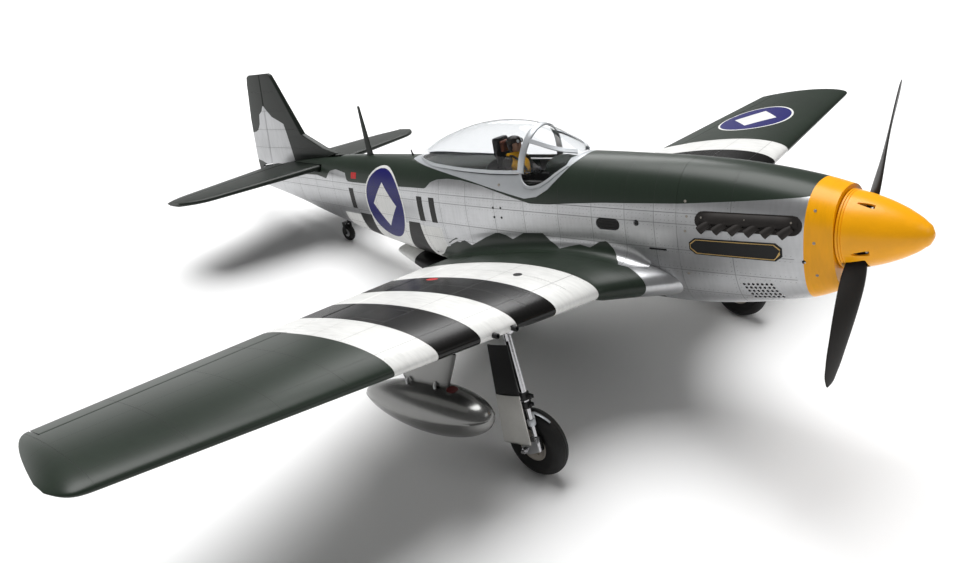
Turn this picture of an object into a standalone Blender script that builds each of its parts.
"""Single-engine warbird, radio-controlled scale model, standing on its three wheels.

The airframe is drawn level, nose towards +X, port wing towards +Y, with the spinner's tip at
the origin. "Station" means the distance aft of that tip. A parent empty then leans the whole
model back onto its tail wheel and puts the ground at Z = 0.
"""
import math

import bmesh
import bpy
import numpy as np
from mathutils import Matrix, Vector

# ---------------------------------------------------------------- driving dimensions (metres)
STANCE = math.radians(12.7)         # nose-up angle when parked
STANCE_SHIFT = (0.7440, 0.0, 0.3857)  # puts the level airframe over the origin, wheels on Z = 0
GAP = 0.0004                        # clearance between touching pieces
SPAN = 1.720

# Fuselage stations: station, half-width, top, bottom, height of the widest point
HULL = (
    (0.100, 0.0520, 0.0540, -0.0790, 0.000),
    (0.128, 0.0555, 0.0615, -0.0925, -0.001),
    (0.165, 0.0585, 0.0690, -0.1040, -0.003),
    (0.234, 0.0625, 0.0790, -0.1185, -0.007),
    (0.310, 0.0655, 0.0850, -0.1290, -0.011),
    (0.400, 0.0678, 0.0880, -0.1315, -0.014),
    (0.500, 0.0690, 0.0900, -0.1312, -0.016),
    (0.600, 0.0695, 0.0895, -0.1310, -0.016),
    (0.700, 0.0685, 0.0865, -0.1300, -0.014),
    (0.800, 0.0655, 0.0815, -0.1260, -0.011),
    (0.910, 0.0595, 0.0765, -0.1170, -0.007),
    (1.065, 0.0465, 0.0740, -0.0945, 0.001),
    (1.130, 0.0402, 0.0720, -0.0835, 0.005),
    (1.250, 0.0285, 0.0655, -0.0590, 0.012),
    (1.350, 0.0190, 0.0560, -0.0360, 0.017),
    (1.450, 0.0100, 0.0440, -0.0170, 0.018),
    (1.487, 0.0070, 0.0395, -0.0100, 0.018),
)
HULL_POWER = 2.35                   # roundness of the cross-section, 2 is an ellipse
HULL_WALL = 0.0028
HULL_END = 1.487
COWL_FRONT = 0.1012
COWL_SEAM = 0.3160
FIREWALL = 0.004

# Spinner and propeller
SPINNER = ((0.0, 0.0), (0.0025, 0.0078), (0.010, 0.0160), (0.026, 0.0268), (0.048, 0.0372),
           (0.074, 0.0458), (0.0985, 0.0512))
SPINNER_BACK = 0.0985
SPINNER_WALL = 0.0016
BACKPLATE_FRONT = 0.0945
PROP_STATION = 0.082
THRUST_DROP = 0.0022                # the thrust line runs this much below the datum
PROP_RADIUS = 0.2039
PROP_LEAN = 0.6635                  # blade angle from upright, towards port
PROP_HUB_RADIUS = 0.0165
PROP_HUB_DEPTH = 0.017
SHAFT_RADIUS = 0.004

# Wing
ROOT_LE, LE_SWEEP = 0.3912, 0.0654
ROOT_TE, TE_SWEEP = 0.8142, -0.2117
ROOT_Z, DIHEDRAL = -0.0942, 0.1143
TWIST_ROOT, TWIST_SLOPE = 0.0231, -0.0407
THICK_ROOT, THICK_TIP = 0.150, 0.115
CAMBER = 0.013
GLOVE_Y, GLOVE_REACH = 0.150, 0.0600   # leading-edge extension at the root
TIP_Y = SPAN / 2
TIP_START = 0.822
SURFACE_GAP = 0.0011
AILERON_Y = (0.502, 0.820)
AILERON_CHORD = (0.047, 0.034)
FLAP_Y = (0.096, 0.499)
FLAP_CHORD = (0.078, 0.058)

# Tail
STAB_Z = 0.0480
STAB_SPAN_HALF = 0.307
STAB_LE = (1.218, 0.165)            # station at the root, sweep per metre
STAB_HINGE = (1.3560, -0.055)
STAB_TE = (1.4230, -0.160)
STAB_THICK = (0.0125, 0.0080)
FIN_HINGE = ((1.4385, 0.0445), (1.4040, 0.2394))   # lower and upper end of the rudder's hinge line
FIN_THICK = (0.0140, 0.0080)

# Undercarriage
WHEEL_RADIUS = 0.0515
WHEEL_WIDTH = 0.030
HUB_RADIUS = 0.0245
AXLE = (0.427, 0.2920, -0.2464)     # station, half track, height
LEG_Y = 0.3140
LEG_PIVOT = (0.428, LEG_Y, -0.0620)
LEG_RADIUS = 0.0052
OLEO_RADIUS = 0.0036
OLEO_TRAVEL = 0.012
RETRACT_AXIS = (-1.0, 0.13, -0.13)  # port side
RETRACT_ANGLE = math.radians(79)
TAIL_AXLE = (1.2090, 0.0, -0.1036)
TAIL_WHEEL_RADIUS = 0.0188
TAIL_WHEEL_WIDTH = 0.012
TAIL_POST = 1.2000

COLOURS = {
    "green": ((0.050, 0.065, 0.050), 0.45, 0.1),
    "silver": ((0.62, 0.62, 0.63), 0.32, 0.85),
    "yellow": ((0.90, 0.42, 0.02), 0.35, 0.0),
    "black": ((0.015, 0.015, 0.016), 0.45, 0.0),
    "white": ((0.85, 0.85, 0.83), 0.35, 0.0),
    "rubber": ((0.012, 0.012, 0.012), 0.75, 0.0),
    "chrome": ((0.80, 0.80, 0.82), 0.12, 1.0),
    "alloy": ((0.35, 0.33, 0.30), 0.45, 0.6),
    "glass": ((0.80, 0.83, 0.85), 0.05, 0.0),
    "wood": ((0.62, 0.45, 0.26), 0.60, 0.0),
    "leather": ((0.10, 0.045, 0.025), 0.60, 0.0),
    "skin": ((0.62, 0.42, 0.32), 0.55, 0.0),
    "carbon": ((0.03, 0.03, 0.035), 0.35, 0.0),
    "blue": ((0.02, 0.08, 0.30), 0.40, 0.0),
}


# ---------------------------------------------------------------- scene and object helpers
def clear_scene():
    for item in list(bpy.data.objects):
        bpy.data.objects.remove(item, do_unlink=True)


def material(name):
    found = bpy.data.materials.get(name)
    if found:
        return found
    colour, roughness, metallic = COLOURS[name]
    made = bpy.data.materials.new(name)
    made.use_nodes = True
    shader = made.node_tree.nodes["Principled BSDF"]
    shader.inputs["Base Color"].default_value = (*colour, 1.0)
    shader.inputs["Roughness"].default_value = roughness
    shader.inputs["Metallic"].default_value = metallic
    return made


def level(station, y, z):
    """A place in the level airframe, from its station, its side and its height."""
    return Vector((-station, y, z))


def add(name, shape, colour, pivot=(0.0, 0.0, 0.0), smooth=35):
    """Turn a bmesh drawn in level coordinates into an object whose origin is at pivot."""
    pivot = Vector(pivot)
    bmesh.ops.translate(shape, verts=shape.verts, vec=-pivot)
    bmesh.ops.recalc_face_normals(shape, faces=shape.faces)
    mesh = bpy.data.meshes.new(name)
    shape.to_mesh(mesh)
    shape.free()
    mesh.shade_smooth()
    mesh.set_sharp_from_angle(angle=math.radians(smooth))
    mesh.materials.append(material(colour))
    piece = bpy.data.objects.new(name, mesh)
    bpy.context.scene.collection.objects.link(piece)
    piece.parent = STANCE_EMPTY
    piece.location = pivot
    return piece


def boolean(target, tool, operation):
    step = target.modifiers.new(operation.lower(), "BOOLEAN")
    step.operation = operation
    step.solver = "EXACT"
    step.object = tool


def helper(name, shape):
    """A hidden solid that only cuts or joins."""
    tool = add(name, shape, "black")
    tool.hide_render = True
    tool.display_type = "WIRE"
    return tool


def cut(target, *tools):
    for tool in tools:
        boolean(target, tool, "DIFFERENCE")


def join(target, *tools):
    for tool in tools:
        boolean(target, tool, "UNION")


# ---------------------------------------------------------------- solids
def loft(rings, shape=None):
    """One closed solid through rings of equal length, with flat ends."""
    shape = shape or bmesh.new()
    rows = [[shape.verts.new(point) for point in ring] for ring in rings]
    count = len(rows[0])
    for before, after in zip(rows, rows[1:]):
        for i in range(count):
            j = (i + 1) % count
            shape.faces.new((before[i], before[j], after[j], after[i]))
    shape.faces.new(rows[0][::-1])
    shape.faces.new(rows[-1])
    return shape


def turned(profile, centre, axis, segments=24):
    """A solid of revolution. The profile holds (distance along the axis, radius) and may
    start and end on the axis; where it does not, its first and last points are joined."""
    axis = Vector(axis).normalized()
    centre = Vector(centre)
    side = axis.orthogonal().normalized()
    up = axis.cross(side)
    shape = bmesh.new()
    rows = []
    for along, radius in profile:
        base = centre + axis * along
        if radius < 1e-7:
            rows.append([shape.verts.new(base)])
            continue
        turn = [2 * math.pi * k / segments for k in range(segments)]
        rows.append([shape.verts.new(base + (side * math.cos(t) + up * math.sin(t)) * radius)
                     for t in turn])
    pairs = list(zip(rows, rows[1:]))
    if len(rows[0]) > 1:
        pairs.append((rows[-1], rows[0]))
    for before, after in pairs:
        for i in range(segments):
            j = (i + 1) % segments
            if len(before) == 1:
                shape.faces.new((before[0], after[j], after[i]))
            elif len(after) == 1:
                shape.faces.new((before[i], before[j], after[0]))
            else:
                shape.faces.new((before[i], before[j], after[j], after[i]))
    return shape


def rod(start, end, radius, segments=16):
    start, end = Vector(start), Vector(end)
    length = (end - start).length
    return turned(((0, 0), (0, radius), (length, radius), (length, 0)), start, end - start, segments)


def block(low, high):
    """A box between two corners given as station, side, height."""
    a, b = level(*low), level(*high)
    size = [abs(u - v) for u, v in zip(a, b)]
    shape = bmesh.new()
    bmesh.ops.create_cube(shape, size=1.0)
    bmesh.ops.scale(shape, verts=shape.verts, vec=size)
    bmesh.ops.translate(shape, verts=shape.verts, vec=(a + b) / 2)
    return shape


def prism(outline, start, depth):
    """A flat outline of 3-D points, pushed by the vector depth."""
    near = [Vector(p) + Vector(start) for p in outline]
    return loft([near, [p + Vector(depth) for p in near]])


def smooth_row(table, station):
    """Read a row of a station table at any station, along a smooth curve through its rows."""
    keys = np.array([row[0] for row in table])
    values = np.array([row[1:] for row in table])
    slopes = np.gradient(values, keys, axis=0)
    i = int(np.clip(np.searchsorted(keys, station) - 1, 0, len(keys) - 2))
    span = keys[i + 1] - keys[i]
    t = (station - keys[i]) / span
    start, end = values[i], values[i + 1]
    lift, drop = slopes[i] * span, slopes[i + 1] * span
    return ((2 * t**3 - 3 * t**2 + 1) * start + (t**3 - 2 * t**2 + t) * lift
            + (3 * t**2 - 2 * t**3) * end + (t**3 - t**2) * drop)


def hull_ring(station, inset=0.0, sides=28):
    """The fuselage's cross-section at a station, drawn inside its skin by inset."""
    width, top, bottom, middle = smooth_row(HULL, station)
    ring = []
    for k in range(sides):
        turn = 2 * math.pi * (k + 0.5) / sides
        c, s = math.cos(turn), math.sin(turn)
        reach = (top - middle if s > 0 else middle - bottom) - inset
        y = (width - inset) * math.copysign(abs(c) ** (2 / HULL_POWER), c)
        z = middle + reach * math.copysign(abs(s) ** (2 / HULL_POWER), s)
        ring.append(level(station, y, z))
    return ring


def hull(first, last, inset=0.0, count=14):
    return loft([hull_ring(s, inset) for s in np.linspace(first, last, count)])


def airfoil(fraction, thickness):
    """Upper and lower height of the wing section, in chords."""
    x = min(max(fraction, 0.0), 1.0)
    half = 5 * thickness * (0.2969 * math.sqrt(x) - 0.1260 * x - 0.3516 * x**2
                            + 0.2843 * x**3 - 0.1015 * x**4)
    bow = 4 * CAMBER * x * (1 - x)
    return bow + half, bow - half


def wing_plan(y):
    """Leading and trailing edge stations of the wing at a distance y from the centre."""
    front = ROOT_LE + LE_SWEEP * y
    rear = ROOT_TE + TE_SWEEP * y
    if y < GLOVE_Y:
        front -= GLOVE_REACH * ((GLOVE_Y - y) / (GLOVE_Y - 0.07)) ** 1.15
    beyond = max(0.0, (y - TIP_START) / (TIP_Y - TIP_START))
    front += 0.030 * beyond**5
    rear -= 0.129 * beyond**2.2
    return front, rear


def wing_thickness(y):
    tip = max(0.0, (y - TIP_START) / (TIP_Y - TIP_START))
    plain = THICK_ROOT + (THICK_TIP - THICK_ROOT) * y / TIP_Y
    return plain * math.sqrt(max(0.02, 1 - 0.93 * tip**3))


def wing_heights(station, y):
    """Heights of the wing's upper and lower skin at a station and a distance y."""
    front, rear = wing_plan(y)
    chord = rear - front
    fraction = (station - front) / chord
    upper, lower = airfoil(fraction, wing_thickness(y))
    base = ROOT_Z + DIHEDRAL * y - (TWIST_ROOT + TWIST_SLOPE * y) * chord * (fraction - 0.25)
    return base + upper * chord, base + lower * chord


def wing_ring(y, points=13):
    front, rear = wing_plan(y)
    steps = [0.5 - 0.5 * math.cos(math.pi * k / points) for k in range(points + 1)]
    stations = [front + (rear - front) * s for s in steps]
    top = [level(s, y, wing_heights(s, y)[0]) for s in reversed(stations)]
    low = [level(s, y, wing_heights(s, y)[1] - 0.0009 * (s > stations[-2])) for s in stations[1:]]
    return top + low


def surface_ring(y, hinge, points=5, gap=0.0, reach=0.0):
    """Section of a wing control surface: a round nose about its hinge, then the wing's own
    skins back to the trailing edge. A positive gap and reach draw the space it needs."""
    _, rear = wing_plan(y)
    top, low = wing_heights(hinge, y)
    middle, radius = (top + low) / 2, (top - low) / 2 + gap
    nose = [level(hinge - radius * math.sin(t), y, middle + radius * math.cos(t))
            for t in np.linspace(0, math.pi, 9)]
    if reach:
        end = rear + 0.02
        return nose + [level(end, y, low - reach), level(end, y, top + reach)]
    stations = np.linspace(hinge, rear - 0.0005, points)[1:]
    under = [level(s, y, wing_heights(s, y)[1] - 0.0006 * (k == points - 2))
             for k, s in enumerate(stations)]
    over = [level(s, y, wing_heights(s, y)[0]) for s in reversed(stations)]
    return nose + under + over


def surface_hinge(y, limits, chords):
    share = (y - limits[0]) / (limits[1] - limits[0])
    return wing_plan(y)[1] - (chords[0] + (chords[1] - chords[0]) * share)


def hinge_ends(limits, chords):
    ends = []
    for y in limits:
        station = surface_hinge(y, limits, chords)
        ends.append(level(station, y, sum(wing_heights(station, y)) / 2))
    return ends


def retract_matrix(angle):
    """Turns the port leg about its skewed hinge."""
    pivot = level(*LEG_PIVOT)
    turn = Matrix.Rotation(angle, 4, Vector(RETRACT_AXIS).normalized())
    return Matrix.Translation(pivot) @ turn @ Matrix.Translation(-pivot)


# ---------------------------------------------------------------- airframe
def hatch_prism(name, grow):
    """The space of the lift-off canopy hatch, bounded below by its swept edge."""
    edge = ((0.500, 0.088), (0.512, 0.079), (0.528, 0.063), (0.549, 0.044), (0.572, 0.032),
            (0.597, 0.028), (0.635, 0.034), (0.723, 0.049), (0.789, 0.058), (0.861, 0.067),
            (0.912, 0.074))
    outline = [level(s, 0, z - grow) for s, z in edge]
    outline[0].x += grow
    outline[-1].x -= grow
    outline += [level(0.912 + grow, 0, 0.2), level(0.500 - grow, 0, 0.2)]
    return helper(name, prism(outline, (0, -0.1, 0), (0, 0.2, 0)))


def make_fuselage():
    body = add("fuselage", hull(COWL_SEAM, HULL_END, count=19), "silver")
    cut(body, helper("cut_cabin", hull(COWL_SEAM + FIREWALL, 1.40, HULL_WALL, 15)),
        hatch_prism("cut_hatch", 0.0),
        helper("cut_wires", rod(level(0.30, 0, 0.045), level(0.33, 0, 0.045), 0.010)),
        helper("cut_tube", rod(level(0.535, -0.1, -0.083), level(0.535, 0.1, -0.083), 0.0090)),
        helper("cut_tail_leg", rod(level(TAIL_POST, 0, -0.10), level(TAIL_POST, 0, 0.0), 0.0042)),
        helper("cut_bed", block((STAB_LE[0] - 0.004, -0.05, STAB_Z - 0.0075),
                                (1.3562, 0.05, STAB_Z + 0.0072))),
        helper("cut_fin_foot", block((1.160, -0.0078, STAB_Z + 0.004), (1.4560, 0.0078, 0.09))))


def make_cowl():
    cowl = add("cowl", hull(COWL_FRONT, COWL_SEAM - GAP, count=10), "silver")
    chin = [level(0.09, 0.026 * math.cos(t), -0.0655 + 0.0105 * math.sin(t))
            for t in np.linspace(0, 2 * math.pi, 16, endpoint=False)]
    cut(cowl, helper("cut_cowl", hull(COWL_FRONT + 0.003, COWL_SEAM + 0.01, 0.0022, 9)),
        helper("cut_nose", rod(level(0.09, 0, 0), level(0.115, 0, 0), 0.030, 24)),
        helper("cut_chin", prism(chin, (0, 0, 0), (-0.02, 0, 0))))


def make_scoop():
    """Radiator scoop under the belly: a duct open at both ends."""
    rows = ((0.683, 0.0400, -0.1365, -0.180), (0.73, 0.0455, -0.1365, -0.190),
            (0.79, 0.0465, -0.1340, -0.188), (0.85, 0.0435, -0.1290, -0.178),
            (0.91, 0.0390, -0.1205, -0.161), (0.96, 0.0340, -0.1145, -0.1425),
            (1.005, 0.0290, -0.1075, -0.1225))

    def ring(row, inset, shift=0.0):
        station, width, top, bottom = row
        middle, half = (top + bottom) / 2, (top - bottom) / 2 - inset
        turns = np.linspace(0, 2 * math.pi, 24, endpoint=False) + 0.13
        wide = [(width - inset) * math.copysign(abs(math.cos(t)) ** 0.75, math.cos(t)) for t in turns]
        tall = [half * math.copysign(abs(math.sin(t)) ** 0.75, math.sin(t)) for t in turns]
        return [level(station + shift, y, middle + z) for y, z in zip(wide, tall)]
    scoop = add("belly_scoop", loft([ring(row, 0.0) for row in rows]), "silver")
    duct = [ring(rows[0], 0.0022, -0.01), *[ring(row, 0.0022) for row in rows],
            ring(rows[-1], 0.0022, 0.01)]
    cut(scoop, helper("cut_duct", loft(duct)))


def make_wing(side, mirror):
    """One wing panel, with its wheel well, its coves and the seat of the joining tube."""
    steps = (0.045, 0.075, 0.10, 0.15, 0.27, 0.42, 0.56, 0.70, TIP_START, 0.829, 0.836, 0.843,
             0.850, 0.856, TIP_Y)
    wing = add(f"wing_{side}", mirror(loft([wing_ring(y) for y in steps])), "green")
    tools = [loft([hull_ring(s, -GAP) for s in np.linspace(0.300, 0.90, 10)])]
    for limits, chords in ((AILERON_Y, AILERON_CHORD), (FLAP_Y, FLAP_CHORD)):
        ends = (limits[0] - 0.0016, limits[1] + 0.0016)
        tools.append(loft([surface_ring(y, surface_hinge(y, limits, chords), gap=SURFACE_GAP, reach=0.03)
                           for y in ends]))
    stowed = retract_matrix(RETRACT_ANGLE)
    axle = stowed.to_3x3() @ Vector((0, 1, 0))
    inward = Vector((LEG_PIVOT[0] - AXLE[0], 0, AXLE[2] - LEG_PIVOT[2])).normalized() * -OLEO_TRAVEL
    reach = WHEEL_WIDTH / 2 + 0.002
    well = [(-reach, 0.0), *((-reach * math.cos(t), WHEEL_RADIUS + 0.003 - 0.0145 * (1 - math.sin(t)))
                             for t in np.linspace(0, math.pi / 2, 6)),
            (0.06, WHEEL_RADIUS + 0.003), (0.06, 0.0)]
    for squeeze in (Vector(), inward):
        wheel = stowed @ (level(*AXLE) + squeeze)
        tools.append(turned(well, wheel, axle, 28))
    top = [stowed @ level(s, LEG_Y - 0.0085, z) for s, z in
           ((0.4175, -0.052), (0.4585, -0.052), (0.4620, -0.245), (0.3945, -0.245))]
    tools.append(loft([top, [p - Vector((0, 0, 0.06)) for p in top]]))
    tools.append(block((0.4158, LEG_Y - 0.016, -0.0505), (0.4590, LEG_Y + 0.020, -0.12)))
    tools.append(rod(level(0.535, 0.04, -0.083), level(0.535, 0.245, -0.083), 0.0064))
    cut(wing, *[helper(f"cut_{side}_{k}", mirror(tool)) for k, tool in enumerate(tools)])


def make_surface(name, limits, chords, mirror, sign, horn_y):
    """An aileron or a flap, with its control horn underneath."""
    inner, outer = hinge_ends(limits, chords)
    inner.y, outer.y = inner.y * sign, outer.y * sign
    rings = [surface_ring(y, surface_hinge(y, limits, chords)) for y in
             (limits[0], (limits[0] + limits[1]) / 2, limits[1])]
    piece = add(name, mirror(loft(rings)), "green", pivot=(inner + outer) / 2)
    station = surface_hinge(horn_y, limits, chords) + 0.004
    low = wing_heights(station, horn_y)[1]
    horn = prism([level(station, 0, low + 0.004), level(station + 0.014, 0, low + 0.004),
                  level(station + 0.003, 0, low - 0.016), level(station - 0.003, 0, low - 0.016)],
                 (0, horn_y - 0.001, 0), (0, 0.002, 0))
    join(piece, helper(f"{name}_horn", mirror(horn)))


def tail_rings(points, thick, upright):
    """Rings for a symmetrical tail surface; points hold (place along it, front, rear)."""
    rings = []
    for place, front, rear, round_front, round_rear in points:
        half = thick(place) / 2
        nose = [(front + half * round_front * (1 - math.sin(t)), half * math.cos(t))
                for t in np.linspace(0, math.pi, 7)] if round_front else [(front, half), (front, -half)]
        tail = [(rear, -0.0006 if round_rear else -half), (rear, 0.0006 if round_rear else half)]
        rings.append([level(s, z, place) if upright else level(s, place, z + STAB_Z)
                      for s, z in nose + tail])
    return rings


def stab_thick(y):
    share = min(1.0, abs(y) / STAB_SPAN_HALF)
    return STAB_THICK[0] + (STAB_THICK[1] - STAB_THICK[0]) * share


def fin_thick(z):
    share = min(1.0, max(0.0, (z - 0.045) / 0.2))
    return FIN_THICK[0] + (FIN_THICK[1] - FIN_THICK[0]) * share


def hinge_station(z):
    (low, low_z), (high, high_z) = FIN_HINGE
    return low + (high - low) * (z - low_z) / (high_z - low_z)


def make_tail():
    half = STAB_SPAN_HALF
    places = (-half, -half * 0.955, -half * 0.86, -0.02, 0.02, half * 0.86, half * 0.955, half)
    rows = []
    for y in places:
        curl = max(0.0, abs(y) / half - 0.80) / 0.20
        front = STAB_LE[0] + STAB_LE[1] * abs(y) + 0.034 * curl**2.6
        rear = STAB_HINGE[0] + STAB_HINGE[1] * abs(y)
        rows.append((y, front, rear - 0.001, 1.6, 0))
    add("stabilizer", loft(tail_rings(rows, stab_thick, False)), "green")
    for side, sign in (("left", 1), ("right", -1)):
        rows = []
        for y in (0.024, 0.16, half * 0.86, half * 0.955, half):
            curl = max(0.0, y / half - 0.80) / 0.20
            hinge = STAB_HINGE[0] + STAB_HINGE[1] * y
            rear = STAB_TE[0] + STAB_TE[1] * y - 0.018 * curl**2.6
            rows.append((y * sign, hinge, rear, 1.0, 1))
        shift = stab_thick(0.1) / 2
        pivot = level(STAB_HINGE[0] + STAB_HINGE[1] * 0.17 + shift, 0.17 * sign, STAB_Z)
        add(f"elevator_{side}", loft(tail_rings(rows, stab_thick, False)), "green", pivot=pivot)
    rows = [(0.0555, 1.262, hinge_station(0.0555) - 0.001, 1.2, 0),
            (0.0640, 1.215, hinge_station(0.064) - 0.001, 1.2, 0),
            (0.0760, 1.170, hinge_station(0.076) - 0.001, 1.2, 0),
            (0.0850, 1.215, hinge_station(0.085) - 0.001, 1.2, 0),
            (0.1150, 1.287, hinge_station(0.115) - 0.001, 1.2, 0),
            (0.2300, 1.350, hinge_station(0.230) - 0.001, 1.2, 0),
            (0.2450, 1.359, hinge_station(0.245) - 0.001, 1.2, 0),
            (0.2490, 1.368, hinge_station(0.249) - 0.001, 1.2, 0)]
    add("fin", loft(tail_rings(rows, fin_thick, True)), "green")
    rows = [(z, hinge_station(z), rear, 1.0, 1) for z, rear in
            ((0.0020, 1.497), (0.0200, 1.511), (0.0640, 1.508), (0.1500, 1.492), (0.2300, 1.469),
             (0.2440, 1.463), (0.2485, 1.452))]
    rudder = add("rudder", loft(tail_rings(rows, fin_thick, True)), "green",
                 pivot=level(hinge_station(0.12) + fin_thick(0.12) / 2, 0, 0.12))
    cut(rudder, helper("cut_rudder_foot", block((1.40, -0.02, -0.05), (HULL_END + 0.0014, 0.02, 0.0475))))


# ---------------------------------------------------------------- power
def make_power():
    spin = (-1, 0, 0)
    tip = level(0, 0, -THRUST_DROP)
    outer = [*SPINNER[:-1], (SPINNER_BACK - 0.0025, 0.0508)]
    inner = [(SPINNER_BACK - 0.0025, 0.0490), (0.074, 0.0438), (0.048, 0.0352), (0.026, 0.0248),
             (0.012, 0.0145), (0.006, 0.0060), (0.0035, 0.0)]
    cone = add("spinner", turned(outer + inner, tip, spin, 32), "yellow")
    lean = Matrix.Rotation(-PROP_LEAN, 4, "X")
    slot = block((PROP_STATION - 0.0135, -0.0125, -0.08), (SPINNER_BACK + 0.01, 0.0125, 0.08))
    slot.transform(lean)
    bmesh.ops.translate(slot, verts=slot.verts, vec=(0, 0, -THRUST_DROP))
    cut(cone, helper("cut_blade_slot", slot))
    add("spinner_backplate", turned(((0.0965, SHAFT_RADIUS + GAP), (0.0965, 0.0486), (0.0985, 0.0512),
                                     (0.1000, 0.0512), (0.1000, SHAFT_RADIUS + GAP)),
                                    tip, spin, 32), "silver")
    blade_rows = ((0.010, 0.0062, 0.0048, 50), (0.030, 0.0105, 0.0050, 48), (0.060, 0.0165, 0.0036, 38),
                  (0.100, 0.0185, 0.0028, 27), (0.145, 0.0165, 0.0020, 19), (0.180, 0.0125, 0.0015, 15),
                  (0.198, 0.0070, 0.0010, 13), (PROP_RADIUS, 0.0018, 0.0006, 12))

    def blade(sign):
        rings = []
        for reach, half_chord, half_thick, pitch in blade_rows:
            ring = []
            for t in np.linspace(0, 2 * math.pi, 12, endpoint=False):
                across, deep = half_chord * math.cos(t), half_thick * math.sin(t)
                p = math.radians(pitch)
                ring.append(Vector((-PROP_STATION + across * math.sin(p) + deep * math.cos(p),
                                    -sign * (across * math.cos(p) - deep * math.sin(p)), sign * reach)))
            rings.append(ring)
        shape = loft(rings)
        shape.transform(lean)
        bmesh.ops.translate(shape, verts=shape.verts, vec=(0, 0, -THRUST_DROP))
        return shape
    half = PROP_HUB_DEPTH / 2
    prop = add("propeller", turned(((PROP_STATION - half, SHAFT_RADIUS + GAP),
                                    (PROP_STATION - half, PROP_HUB_RADIUS),
                                    (PROP_STATION + half, PROP_HUB_RADIUS),
                                    (PROP_STATION + half, SHAFT_RADIUS + GAP)), tip, spin, 24), "carbon")
    hub_bore = helper("cut_prop_bore", rod(tip + Vector((-0.06, 0, 0)), tip + Vector((-0.11, 0, 0)),
                                           SHAFT_RADIUS + GAP))
    join(prop, helper("prop_blade_1", blade(1)), helper("prop_blade_2", blade(-1)))
    cut(prop, hub_bore)
    add("prop_nut", turned(((0.0580, 0), (0.0580, 0.0065), (0.0708, 0.0085), (0.0708, 0)), tip, spin, 6),
        "alloy")
    add("motor_shaft", rod(tip + Vector((-0.0735, 0, 0)), tip + Vector((-0.1290, 0, 0)), SHAFT_RADIUS),
        "chrome")
    add("motor", turned(((0.1295, 0), (0.1295, 0.026), (0.134, 0.0305), (0.190, 0.0305), (0.195, 0.024),
                         (0.195, 0)), tip, spin, 28), "alloy")
    box = add("motor_mount", block((0.1955, -0.033, -0.033), (COWL_SEAM - GAP, 0.033, 0.033)), "wood")
    cut(box, helper("cut_mount", block((0.201, -0.028, -0.028), (0.33, 0.028, 0.028))),
        helper("cut_mount_side", block((0.215, -0.05, -0.018), (0.285, 0.05, 0.018))))
    add("speed_controller", block((0.215, -0.020, -0.056), (0.290, 0.020, -0.034)), "black")
    add("battery", block((0.345, -0.025, -0.030), (0.490, 0.025, 0.018)), "blue")
    add("battery_tray", block((0.3215, -0.032, -0.0345), (0.640, 0.032, -0.0305)), "wood")
    add("receiver", block((0.655, -0.015, -0.060), (0.700, 0.015, -0.045)), "black")


def exhaust_shape(sign):
    """A stadium-shaped fairing with a row of stub pipes, lying along the cowl's side."""
    first, last, middle, half = 0.138, 0.284, 0.0155, 0.0125
    outline = [(first + half - half * math.sin(t), middle + half * math.cos(t))
               for t in np.linspace(0, math.pi, 7)]
    outline += [(last - half + half * math.sin(t), middle - half * math.cos(t))
                for t in np.linspace(0, math.pi, 7)]

    def out(station, height, proud):
        width, top, _, centre = smooth_row(HULL, station)
        share = abs((height - centre) / (top - centre))
        return level(station, sign * (width * (1 - share**HULL_POWER) ** (1 / HULL_POWER) + proud), height)
    return (loft([[out(s, z, proud) for s, z in outline] for proud in (-0.0020, 0.0050)]),
            [rod(out(s, 0.013, 0.002), out(s + 0.009, 0.0005, 0.0075), 0.0058, 10)
             for s in np.linspace(first + 0.014, last - 0.024, 6)])


def make_exhausts():
    for side, sign in (("left", 1), ("right", -1)):
        plate, pipes = exhaust_shape(sign)
        piece = add(f"exhaust_{side}", plate, "black")
        join(piece, *[helper(f"pipe_{side}_{k}", pipe) for k, pipe in enumerate(pipes)])
        cut(piece, helper(f"cut_exhaust_{side}", hull(0.105, 0.311, -0.0008, 11)))


# ---------------------------------------------------------------- canopy hatch
GLASS = ((0.512, 0.012, 0.0930), (0.530, 0.031, 0.1045), (0.555, 0.0425, 0.1180), (0.578, 0.0475, 0.1285),
         (0.615, 0.0505, 0.1385), (0.660, 0.0510, 0.1425), (0.720, 0.0490, 0.1395), (0.790, 0.0430, 0.1255),
         (0.850, 0.0330, 0.1060), (0.882, 0.0200, 0.0915), (0.896, 0.0090, 0.0830))
GLASS_WALL = 0.0012


def deck_height(station, y):
    """Height of the fuselage's upper skin at a station and a distance y from the centre."""
    width, top, _, middle = smooth_row(HULL, station)
    return middle + (top - middle) * (1 - min(1.0, abs(y) / width) ** HULL_POWER) ** (1 / HULL_POWER)


def glass_ring(station, grow=0.0, wall=GLASS_WALL):
    width, top = smooth_row(GLASS, station)
    sill = deck_height(station, width) + GAP

    def arc(inset):
        return [level(station, (width - inset) * math.cos(t), sill + (top - sill - inset) * math.sin(t))
                for t in np.linspace(0, math.pi, 13)]
    return arc(-grow) + arc(wall - grow)[::-1]


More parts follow.
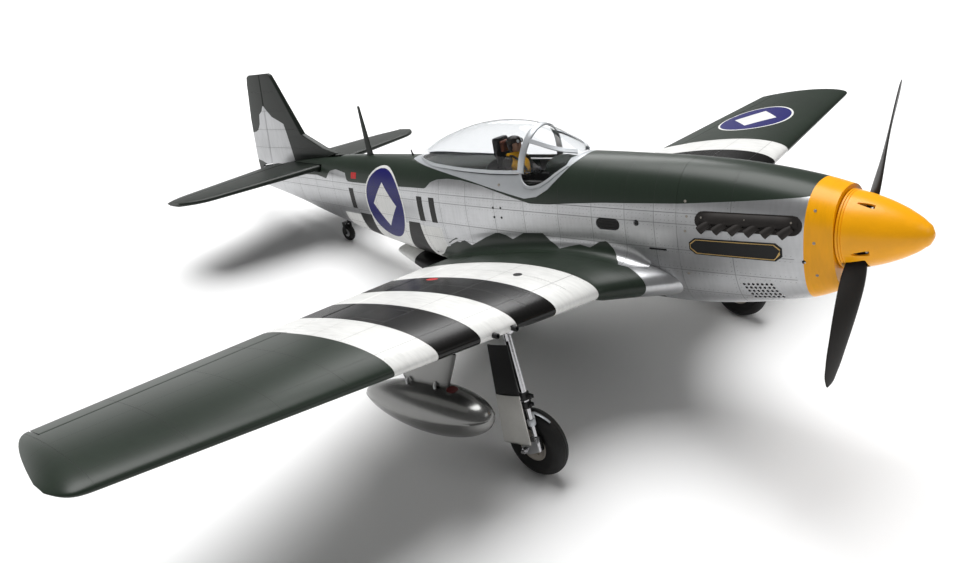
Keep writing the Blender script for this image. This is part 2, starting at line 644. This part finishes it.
def make_hatch():
    skirt = add("canopy_frame", hull(0.485, 0.930, count=15), "silver")
    cut(skirt, helper("cut_skirt", hull(0.475, 0.940, 0.0020, 15)))
    boolean(skirt, hatch_prism("keep_skirt", -0.0006), "INTERSECT")
    stations = np.linspace(GLASS[0][0], GLASS[-1][0], 17)
    plan = [level(s, smooth_row(GLASS, s)[0] + GAP, 0) for s in stations]
    plan += [level(s, -smooth_row(GLASS, s)[0] - GAP, 0) for s in stations[::-1]]
    plan[0].x = plan[-1].x = plan[0].x + GAP
    plan[16].x = plan[17].x = plan[16].x - GAP
    cut(skirt, helper("cut_glass_hole", prism(plan, (0, 0, 0.01), (0, 0, 0.2))))
    add("canopy_glass", loft([glass_ring(s) for s in stations]), "glass")
    arch = [glass_ring(s, grow=0.0016, wall=0.0012) for s in (0.5745, 0.5830)]
    add("windshield_arch", loft(arch), "silver")
    tub = add("cockpit_tub", block((0.532, -0.0385, 0.030), (0.800, 0.0385, 0.0640)), "green")
    cut(tub, helper("cut_tub", block((0.560, -0.0365, 0.032), (0.700, 0.0365, 0.08))))
    add("instrument_panel", block((0.560 + GAP, -0.033, 0.0325), (0.566, 0.033, 0.0760)), "black")
    seat = add("seat", block((0.655, -0.019, 0.0325), (0.695, 0.019, 0.045)), "black")
    join(seat, helper("seat_back", block((0.684, -0.019, 0.036), (0.692, 0.019, 0.092))),
         helper("head_rest", block((0.681, -0.009, 0.092 - 0.004), (0.693, 0.009, 0.108))))
    body = [(0.0, 0.017, 0.013), (0.012, 0.021, 0.014), (0.026, 0.023, 0.014), (0.036, 0.019, 0.012),
            (0.041, 0.0075, 0.0075), (0.048, 0.0080, 0.0085), (0.055, 0.0105, 0.0120),
            (0.065, 0.0115, 0.0130), (0.073, 0.0085, 0.0095), (0.077, 0.0030, 0.0035)]
    rings = [[level(0.664 + deep * math.sin(t), wide * math.cos(t), 0.0458 + up)
              for t in np.linspace(0, 2 * math.pi, 16, endpoint=False)] for up, wide, deep in body]
    add("pilot", loft(rings), "leather")


# ---------------------------------------------------------------- undercarriage
def make_leg(side, sign, mirror):
    """Main leg: a tube turning in the wing, a sliding oleo with its axle, a door and a wheel."""
    pivot = level(*LEG_PIVOT)
    wheel = level(*AXLE)
    hang = Vector((wheel.x + 0.0225, pivot.y, wheel.z + 0.008)) - pivot
    down = hang.normalized()
    length = hang.length
    seat = Vector((pivot.x, pivot.y * sign, pivot.z))
    tube = add(f"strut_{side}", mirror(rod(pivot, pivot + down * 0.116, LEG_RADIUS)), "chrome", pivot=seat)
    barrel = rod(pivot - Vector((0.0105, 0, 0)), pivot + Vector((0.0105, 0, 0)), 0.0070)
    collar = rod(pivot + down * 0.106, pivot + down * 0.118, 0.0075)
    lug = rod(pivot + down * 0.095, pivot + down * 0.104, 0.0072)
    join(tube, helper(f"barrel_{side}", mirror(barrel)), helper(f"collar_{side}", mirror(collar)),
         helper(f"lug_{side}", mirror(lug)))
    cut(tube, helper(f"bore_{side}", mirror(rod(pivot + down * 0.060, pivot + down * 0.13,
                                                OLEO_RADIUS + 0.0003))))
    end = pivot + hang
    oleo = add(f"oleo_{side}", mirror(rod(pivot + down * 0.078, end - down * 0.002, OLEO_RADIUS)),
               "chrome", pivot=seat)
    axle_line = Vector((0, 1, 0))
    elbow = wheel + axle_line * (LEG_Y - AXLE[1])
    across = Vector((down.z, 0, -down.x)) * 0.0056
    top = end - down * 0.018
    outline = [top + across, top - across, end - across + down * 0.004, elbow + Vector((0.005, 0, -0.006)),
               elbow + Vector((-0.006, 0, -0.004)), elbow + Vector((-0.006, 0, 0.005))]
    fork = prism(outline, (0, -0.0053, 0), (0, 0.0106, 0))
    join(oleo, helper(f"fork_{side}", mirror(fork)),
         helper(f"axle_{side}", mirror(rod(elbow, wheel - axle_line * 0.0165, 0.0025, 14))))
    outside = LEG_Y + 0.0105
    outline = [level(0.4560, outside, -0.0860), level(0.4180, outside, -0.0800),
               level(0.4070, outside, -0.2290), level(0.4590, outside, -0.2370)]
    door = add(f"gear_door_{side}", mirror(prism(outline, (0, 0, 0), (0, 0.0016, 0))), "white", pivot=seat)
    bracket = rod(pivot + down * 0.100, pivot + down * 0.100 + Vector((0, 0.0114, 0)), 0.0030, 10)
    door_arm = helper(f"bracket_{side}", mirror(bracket))
    tube_space = helper(f"bracket_space_{side}", mirror(rod(pivot, pivot + down * 0.13, 0.0080)))
    join(door, door_arm)
    cut(door, tube_space)
    middle = Vector((wheel.x, wheel.y * sign, wheel.z))
    half = WHEEL_WIDTH / 2
    profile = [(half * math.cos(t), WHEEL_RADIUS - 0.0145 * (1 - math.sin(t)))
               for t in np.linspace(0, math.pi, 11)]
    tyre = [(half * 0.80, HUB_RADIUS + GAP)] + profile + [(-half * 0.80, HUB_RADIUS + GAP)]
    spin = (0, 1, 0)
    add(f"tyre_{side}", turned(tyre, middle, spin, 36), "rubber", pivot=middle)
    rim = [(-half * 0.80, 0.00256), (-half * 0.80, HUB_RADIUS), (half * 0.80, HUB_RADIUS),
           (half * 0.80, 0.00256)]
    add(f"wheel_hub_{side}", turned(rim, middle, spin, 28), "alloy", pivot=middle)
    unit = block((0.4425, LEG_Y - 0.0150, -0.0712), (0.4585, LEG_Y + 0.0150, -0.0515))
    add(f"retract_unit_{side}", mirror(unit), "black", pivot=seat)


def make_tail_leg():
    post = level(TAIL_POST, 0, -0.060)
    axle = level(*TAIL_AXLE)
    leg = add("tail_leg", rod(level(TAIL_POST, 0, -0.020), level(TAIL_POST, 0, -0.0790), 0.0030), "alloy",
              pivot=post)
    parts = [block((TAIL_POST - 0.005, -0.0095, -0.0810), (TAIL_POST + 0.0125, 0.0095, -0.0780))]
    for sign in (1, -1):
        low = min(0.0075 * sign, 0.0095 * sign)
        parts.append(block((TAIL_POST + 0.0045, low, -0.1060), (TAIL_POST + 0.0125, low + 0.002, -0.0785)))
    parts.append(rod(axle - Vector((0, 0.0088, 0)), axle + Vector((0, 0.0088, 0)), 0.0015, 10))
    join(leg, *[helper(f"tail_leg_part_{k}", shape) for k, shape in enumerate(parts)])
    half = TAIL_WHEEL_WIDTH / 2
    tyre = [(half * math.cos(t), TAIL_WHEEL_RADIUS - 0.0055 * (1 - math.sin(t)))
            for t in np.linspace(0, math.pi, 7)]
    tyre = [(half * 0.8, 0.0085 + GAP)] + tyre + [(-half * 0.8, 0.0085 + GAP)]
    add("tail_tyre", turned(tyre, axle, (0, 1, 0), 24), "rubber", pivot=axle)
    hub = [(-half * 0.8, 0.00156), (-half * 0.8, 0.0085), (half * 0.8, 0.0085), (half * 0.8, 0.00156)]
    add("tail_wheel_hub", turned(hub, axle, (0, 1, 0), 20), "silver", pivot=axle)


# ---------------------------------------------------------------- stores, servos, small parts
def make_stores(side, mirror):
    nose, tail = level(0.392, 0.400, -0.1450), level(0.649, 0.400, -0.1640)
    length = (tail - nose).length
    tank = [(0.0, 0.0)] + [(length * s, 0.0305 * math.sin(math.pi * s**0.80) ** 0.62)
                           for s in (0.01, 0.04, 0.10, 0.20, 0.32, 0.45, 0.58, 0.70, 0.81, 0.90, 0.96, 0.99)]
    tank.append((length, 0.0))
    add(f"drop_tank_{side}", mirror(turned(tank, nose, tail - nose, 24)), "silver")
    rows = []
    for z, front, rear in ((-0.1260, 0.466, 0.548), (-0.062, 0.432, 0.572)):
        rows.append([level(s, 0.400 + w, z) for s, w in
                     ((front, 0.0), (front + 0.02, 0.0045), (rear - 0.03, 0.0045), (rear, 0.0),
                      (rear - 0.03, -0.0045), (front + 0.02, -0.0045))])
    pylon = add(f"pylon_{side}", mirror(loft(rows)), "silver")
    near = [wing_ring(y) for y in (0.380, 0.420)]
    shape = loft([[p - Vector((0, 0, 0.0009)) for p in ring] for ring in near])
    cut(pylon, helper(f"cut_pylon_{side}", mirror(shape)),
        helper(f"cut_pylon_tank_{side}", mirror(turned([(s, r + 0.0005 if r else 0) for s, r in tank],
                                                       nose, tail - nose, 24))))


def make_small_parts():
    foot = [level(s, w, 0.0748) for s, w in ((1.0560, 0), (1.0665, 0.0022), (1.0760, 0), (1.0665, -0.0022))]
    tip = [level(s, w, 0.1716) for s, w in ((1.0695, 0), (1.0712, 0.0009), (1.0730, 0), (1.0712, -0.0009))]
    add("antenna_mast", loft([foot, tip]), "green")
    add("wing_tube", rod(level(0.535, -0.2440, -0.083), level(0.535, 0.2440, -0.083), 0.0060), "carbon")
    for name, station, y in (("servo_rudder", 0.720, 0.017), ("servo_elevator", 0.720, -0.017)):
        add(name, block((station, y - 0.010, -0.0300), (station + 0.040, y + 0.010, 0.0050)), "black")
    for name, y in (("pushrod_rudder", 0.017), ("pushrod_elevator", -0.017)):
        add(name, rod(level(0.775, y, 0.000), level(1.190, y * 0.5, 0.020), 0.0015, 8), "carbon",
            pivot=level(0.775, y, 0.0))
    add("servo_tray", block((0.705, -0.036, -0.0345), (0.790, 0.036, -0.0305)), "wood")


def main():
    clear_scene()
    global STANCE_EMPTY
    STANCE_EMPTY = bpy.data.objects.new("stance", None)
    bpy.context.scene.collection.objects.link(STANCE_EMPTY)
    STANCE_EMPTY.rotation_euler = (0.0, -STANCE, 0.0)
    STANCE_EMPTY.location = STANCE_SHIFT
    make_fuselage()
    make_cowl()
    make_scoop()
    make_tail()
    make_power()
    make_exhausts()
    make_hatch()
    make_tail_leg()
    make_small_parts()

    def port(shape):
        return shape

    def starboard(shape):
        shape.transform(Matrix.Scale(-1, 4, (0, 1, 0)))
        bmesh.ops.reverse_faces(shape, faces=shape.faces)
        return shape
    for side, sign, mirror in (("left", 1, port), ("right", -1, starboard)):
        make_wing(side, mirror)
        make_surface(f"aileron_{side}", AILERON_Y, AILERON_CHORD, mirror, sign, 0.600)
        make_surface(f"flap_{side}", FLAP_Y, FLAP_CHORD, mirror, sign, 0.200)
        make_leg(side, sign, mirror)
        make_stores(side, mirror)


main()
